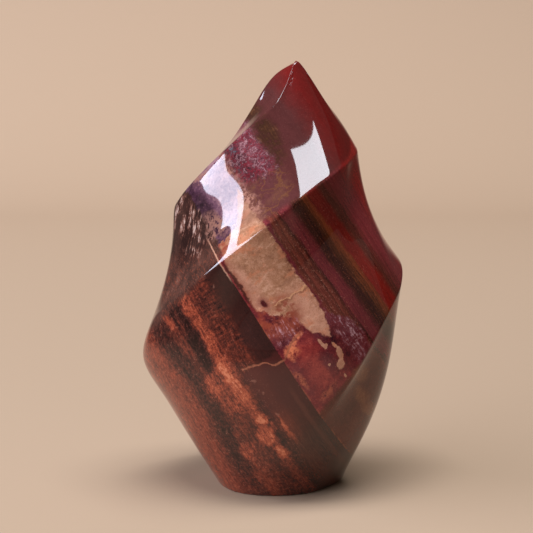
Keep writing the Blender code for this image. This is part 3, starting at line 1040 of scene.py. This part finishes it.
def add_sweep(look):
    """The floor, which curves up into a wall behind the stone."""
    turns = np.linspace(0.0, np.pi / 2, SWEEP_STEPS + 1)
    profile = [(-look.floor_half, 0.0)]
    profile += [(look.sweep_start + look.sweep_radius * np.sin(turn), look.sweep_radius * (1 - np.cos(turn)))
                for turn in turns]
    profile.append((look.sweep_start + look.sweep_radius, look.sweep_height))
    corners = [(side * look.floor_half, y, z) for y, z in profile for side in (-1, 1)]
    faces = [(i, i + 1, i + 3, i + 2) for i in range(0, len(corners) - 2, 2)]
    mesh = bpy.data.meshes.new("floor")
    mesh.from_pydata(corners, [], faces)
    for face in mesh.polygons:
        face.use_smooth = True
    floor = bpy.data.objects.new("floor", mesh)
    bpy.context.scene.collection.objects.link(floor)
    paint = bpy.data.materials.new("pale_floor")
    paint.use_nodes = True
    nodes = Nodes(paint.node_tree)
    place = nodes.add("ShaderNodeTexCoord", {}, {}, "Object")
    back = nodes.vector("DOT_PRODUCT", place, (0.0, 1.0, 0.0), output=1)
    aside = nodes.math("ABSOLUTE", nodes.vector("DOT_PRODUCT", place, (1.0, 0.0, 0.0), output=1))
    shader = paint.node_tree.nodes["Principled BSDF"]
    dim = nodes.larger(nodes.rise(aside - back * WIDENING, *ASIDE_FADE), nodes.rise(back, *FRONT_FADE))
    colour = nodes.paint(tuple(look.floor_colour), (nodes.rise(back, *WALL_FADE), tuple(look.wall_colour)),
                         (dim, tuple(look.far_colour)))
    nodes.feed(shader.inputs["Base Color"], colour)
    shader.inputs["Roughness"].default_value = 1.0
    shader.inputs["Specular IOR Level"].default_value = 0.0
    mesh.materials.append(paint)


def add_room(look):
    """Dim surroundings, which the camera sees as pale as the wall."""
    world = bpy.data.worlds.new("surroundings")
    world.use_nodes = True
    nodes = Nodes(world.node_tree)
    seen_by_camera = nodes.add("ShaderNodeLightPath", {}, {}, "Is Camera Ray")
    background = world.node_tree.nodes["Background"]
    nodes.feed(background.inputs["Color"], (*look.room_colour,))
    nodes.feed(background.inputs["Strength"], look.room_strength + seen_by_camera * ROOM_SEEN)
    bpy.context.scene.world = world


def add_camera(look):
    """A long lens, a little above the level."""
    camera = bpy.data.objects.new("camera", bpy.data.cameras.new("camera"))
    camera.data.lens = look.lens
    camera.data.clip_start = NEAR_CLIP
    towards = direction(0.0, look.elevation)
    camera.location = Vector(AIM) + towards * look.distance
    camera.rotation_euler = towards.to_track_quat("Z", "Y").to_euler()
    bpy.context.scene.collection.objects.link(camera)
    bpy.context.scene.camera = camera


class FLAME_OT_stage(bpy.types.Operator):
    """Make the pale floor, the lights and the camera"""

    bl_idname = "flame.stage"
    bl_label = "Stage"

    def execute(self, context):
        look = context.scene.flame_stage
        context.scene.view_settings.view_transform = "Standard"
        add_sweep(look)
        add_room(look)
        add_light("ceiling_light", CEILING_LIGHT, look.ceiling_power, CEILING_TINT)
        add_light("window_light", WINDOW_LIGHT, look.window_power, WINDOW_TINT)
        add_camera(look)
        return {"FINISHED"}


class FLAME_PT_panel(bpy.types.Panel):
    """The flame carving's pieces and their sizes"""

    bl_idname = "FLAME_PT_panel"
    bl_label = "Flame Carving"
    bl_space_type = "VIEW_3D"
    bl_region_type = "UI"
    bl_category = "Flame Carving"

    def draw(self, context):
        scene = context.scene
        for operator, look in (("flame.stone", scene.flame_stone), ("flame.stage", scene.flame_stage)):
            self.layout.operator(operator)
            for name in look.__annotations__:
                self.layout.prop(look, name)


CLASSES = (StoneLook, StageLook, FLAME_OT_stone, FLAME_OT_stage, FLAME_PT_panel)


def register():
    """Makes the operators, the panel and both groups of sizes known."""
    for kind in CLASSES:
        bpy.utils.register_class(kind)
    bpy.types.Scene.flame_stone = PointerProperty(type=StoneLook)
    bpy.types.Scene.flame_stage = PointerProperty(type=StageLook)


def unregister():
    """Takes them away again."""
    del bpy.types.Scene.flame_stage
    del bpy.types.Scene.flame_stone
    for kind in reversed(CLASSES):
        bpy.utils.unregister_class(kind)


def main():
    """Makes the stone and the stage."""
    register()
    bpy.ops.flame.stone()
    bpy.ops.flame.stage()


if __name__ == "__main__":
    main()
